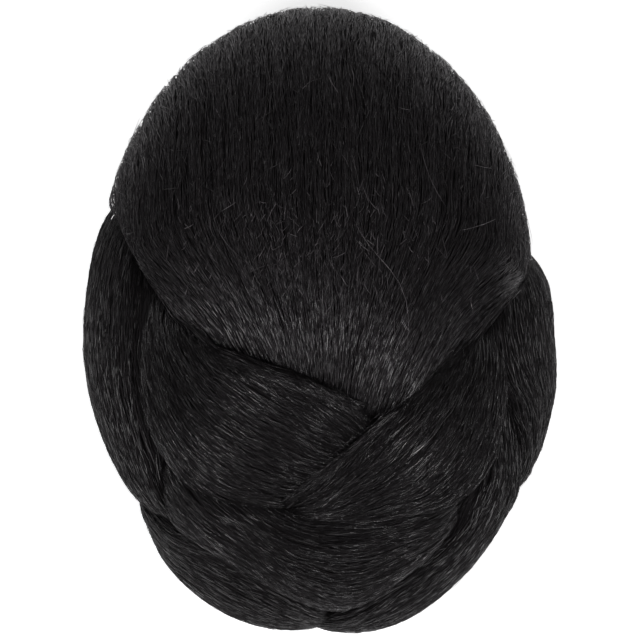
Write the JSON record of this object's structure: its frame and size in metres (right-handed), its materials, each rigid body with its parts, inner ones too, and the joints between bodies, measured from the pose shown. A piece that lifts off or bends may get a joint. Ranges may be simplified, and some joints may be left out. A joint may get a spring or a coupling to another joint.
{
  "type": "claw clip bun hairpiece",
  "caption": "Oval bun hairpiece of thick black locks of hair laid over and under each other round a hollow back, with a claw clip inside that grips the wearer's own bun.",
  "frame": {"origin": "middle of the footprint, on the plane of the back rim that the bun lies on", "axes": "+Z towards the front of the bun, away from the wearer's head; +Y towards its top; +X to the right as the front is looked at"},
  "size_m": [0.1356, 0.1798, 0.08],
  "materials": {
    "hair": "near-black combed synthetic hair with a soft gloss along the fibres",
    "clip": "black moulded plastic, half gloss"
  },
  "bodies": {
    "root": {"crown_lock": "hair", "right_outer_lock": "hair", "right_crossing_lock": "hair", "lower_right_lock": "hair", "lower_left_lock": "hair", "left_outer_lock": "hair", "lower_middle_lock": "hair", "left_crossing_lock": "hair", "claw_clip": "clip"}
  },
  "joints": []
}
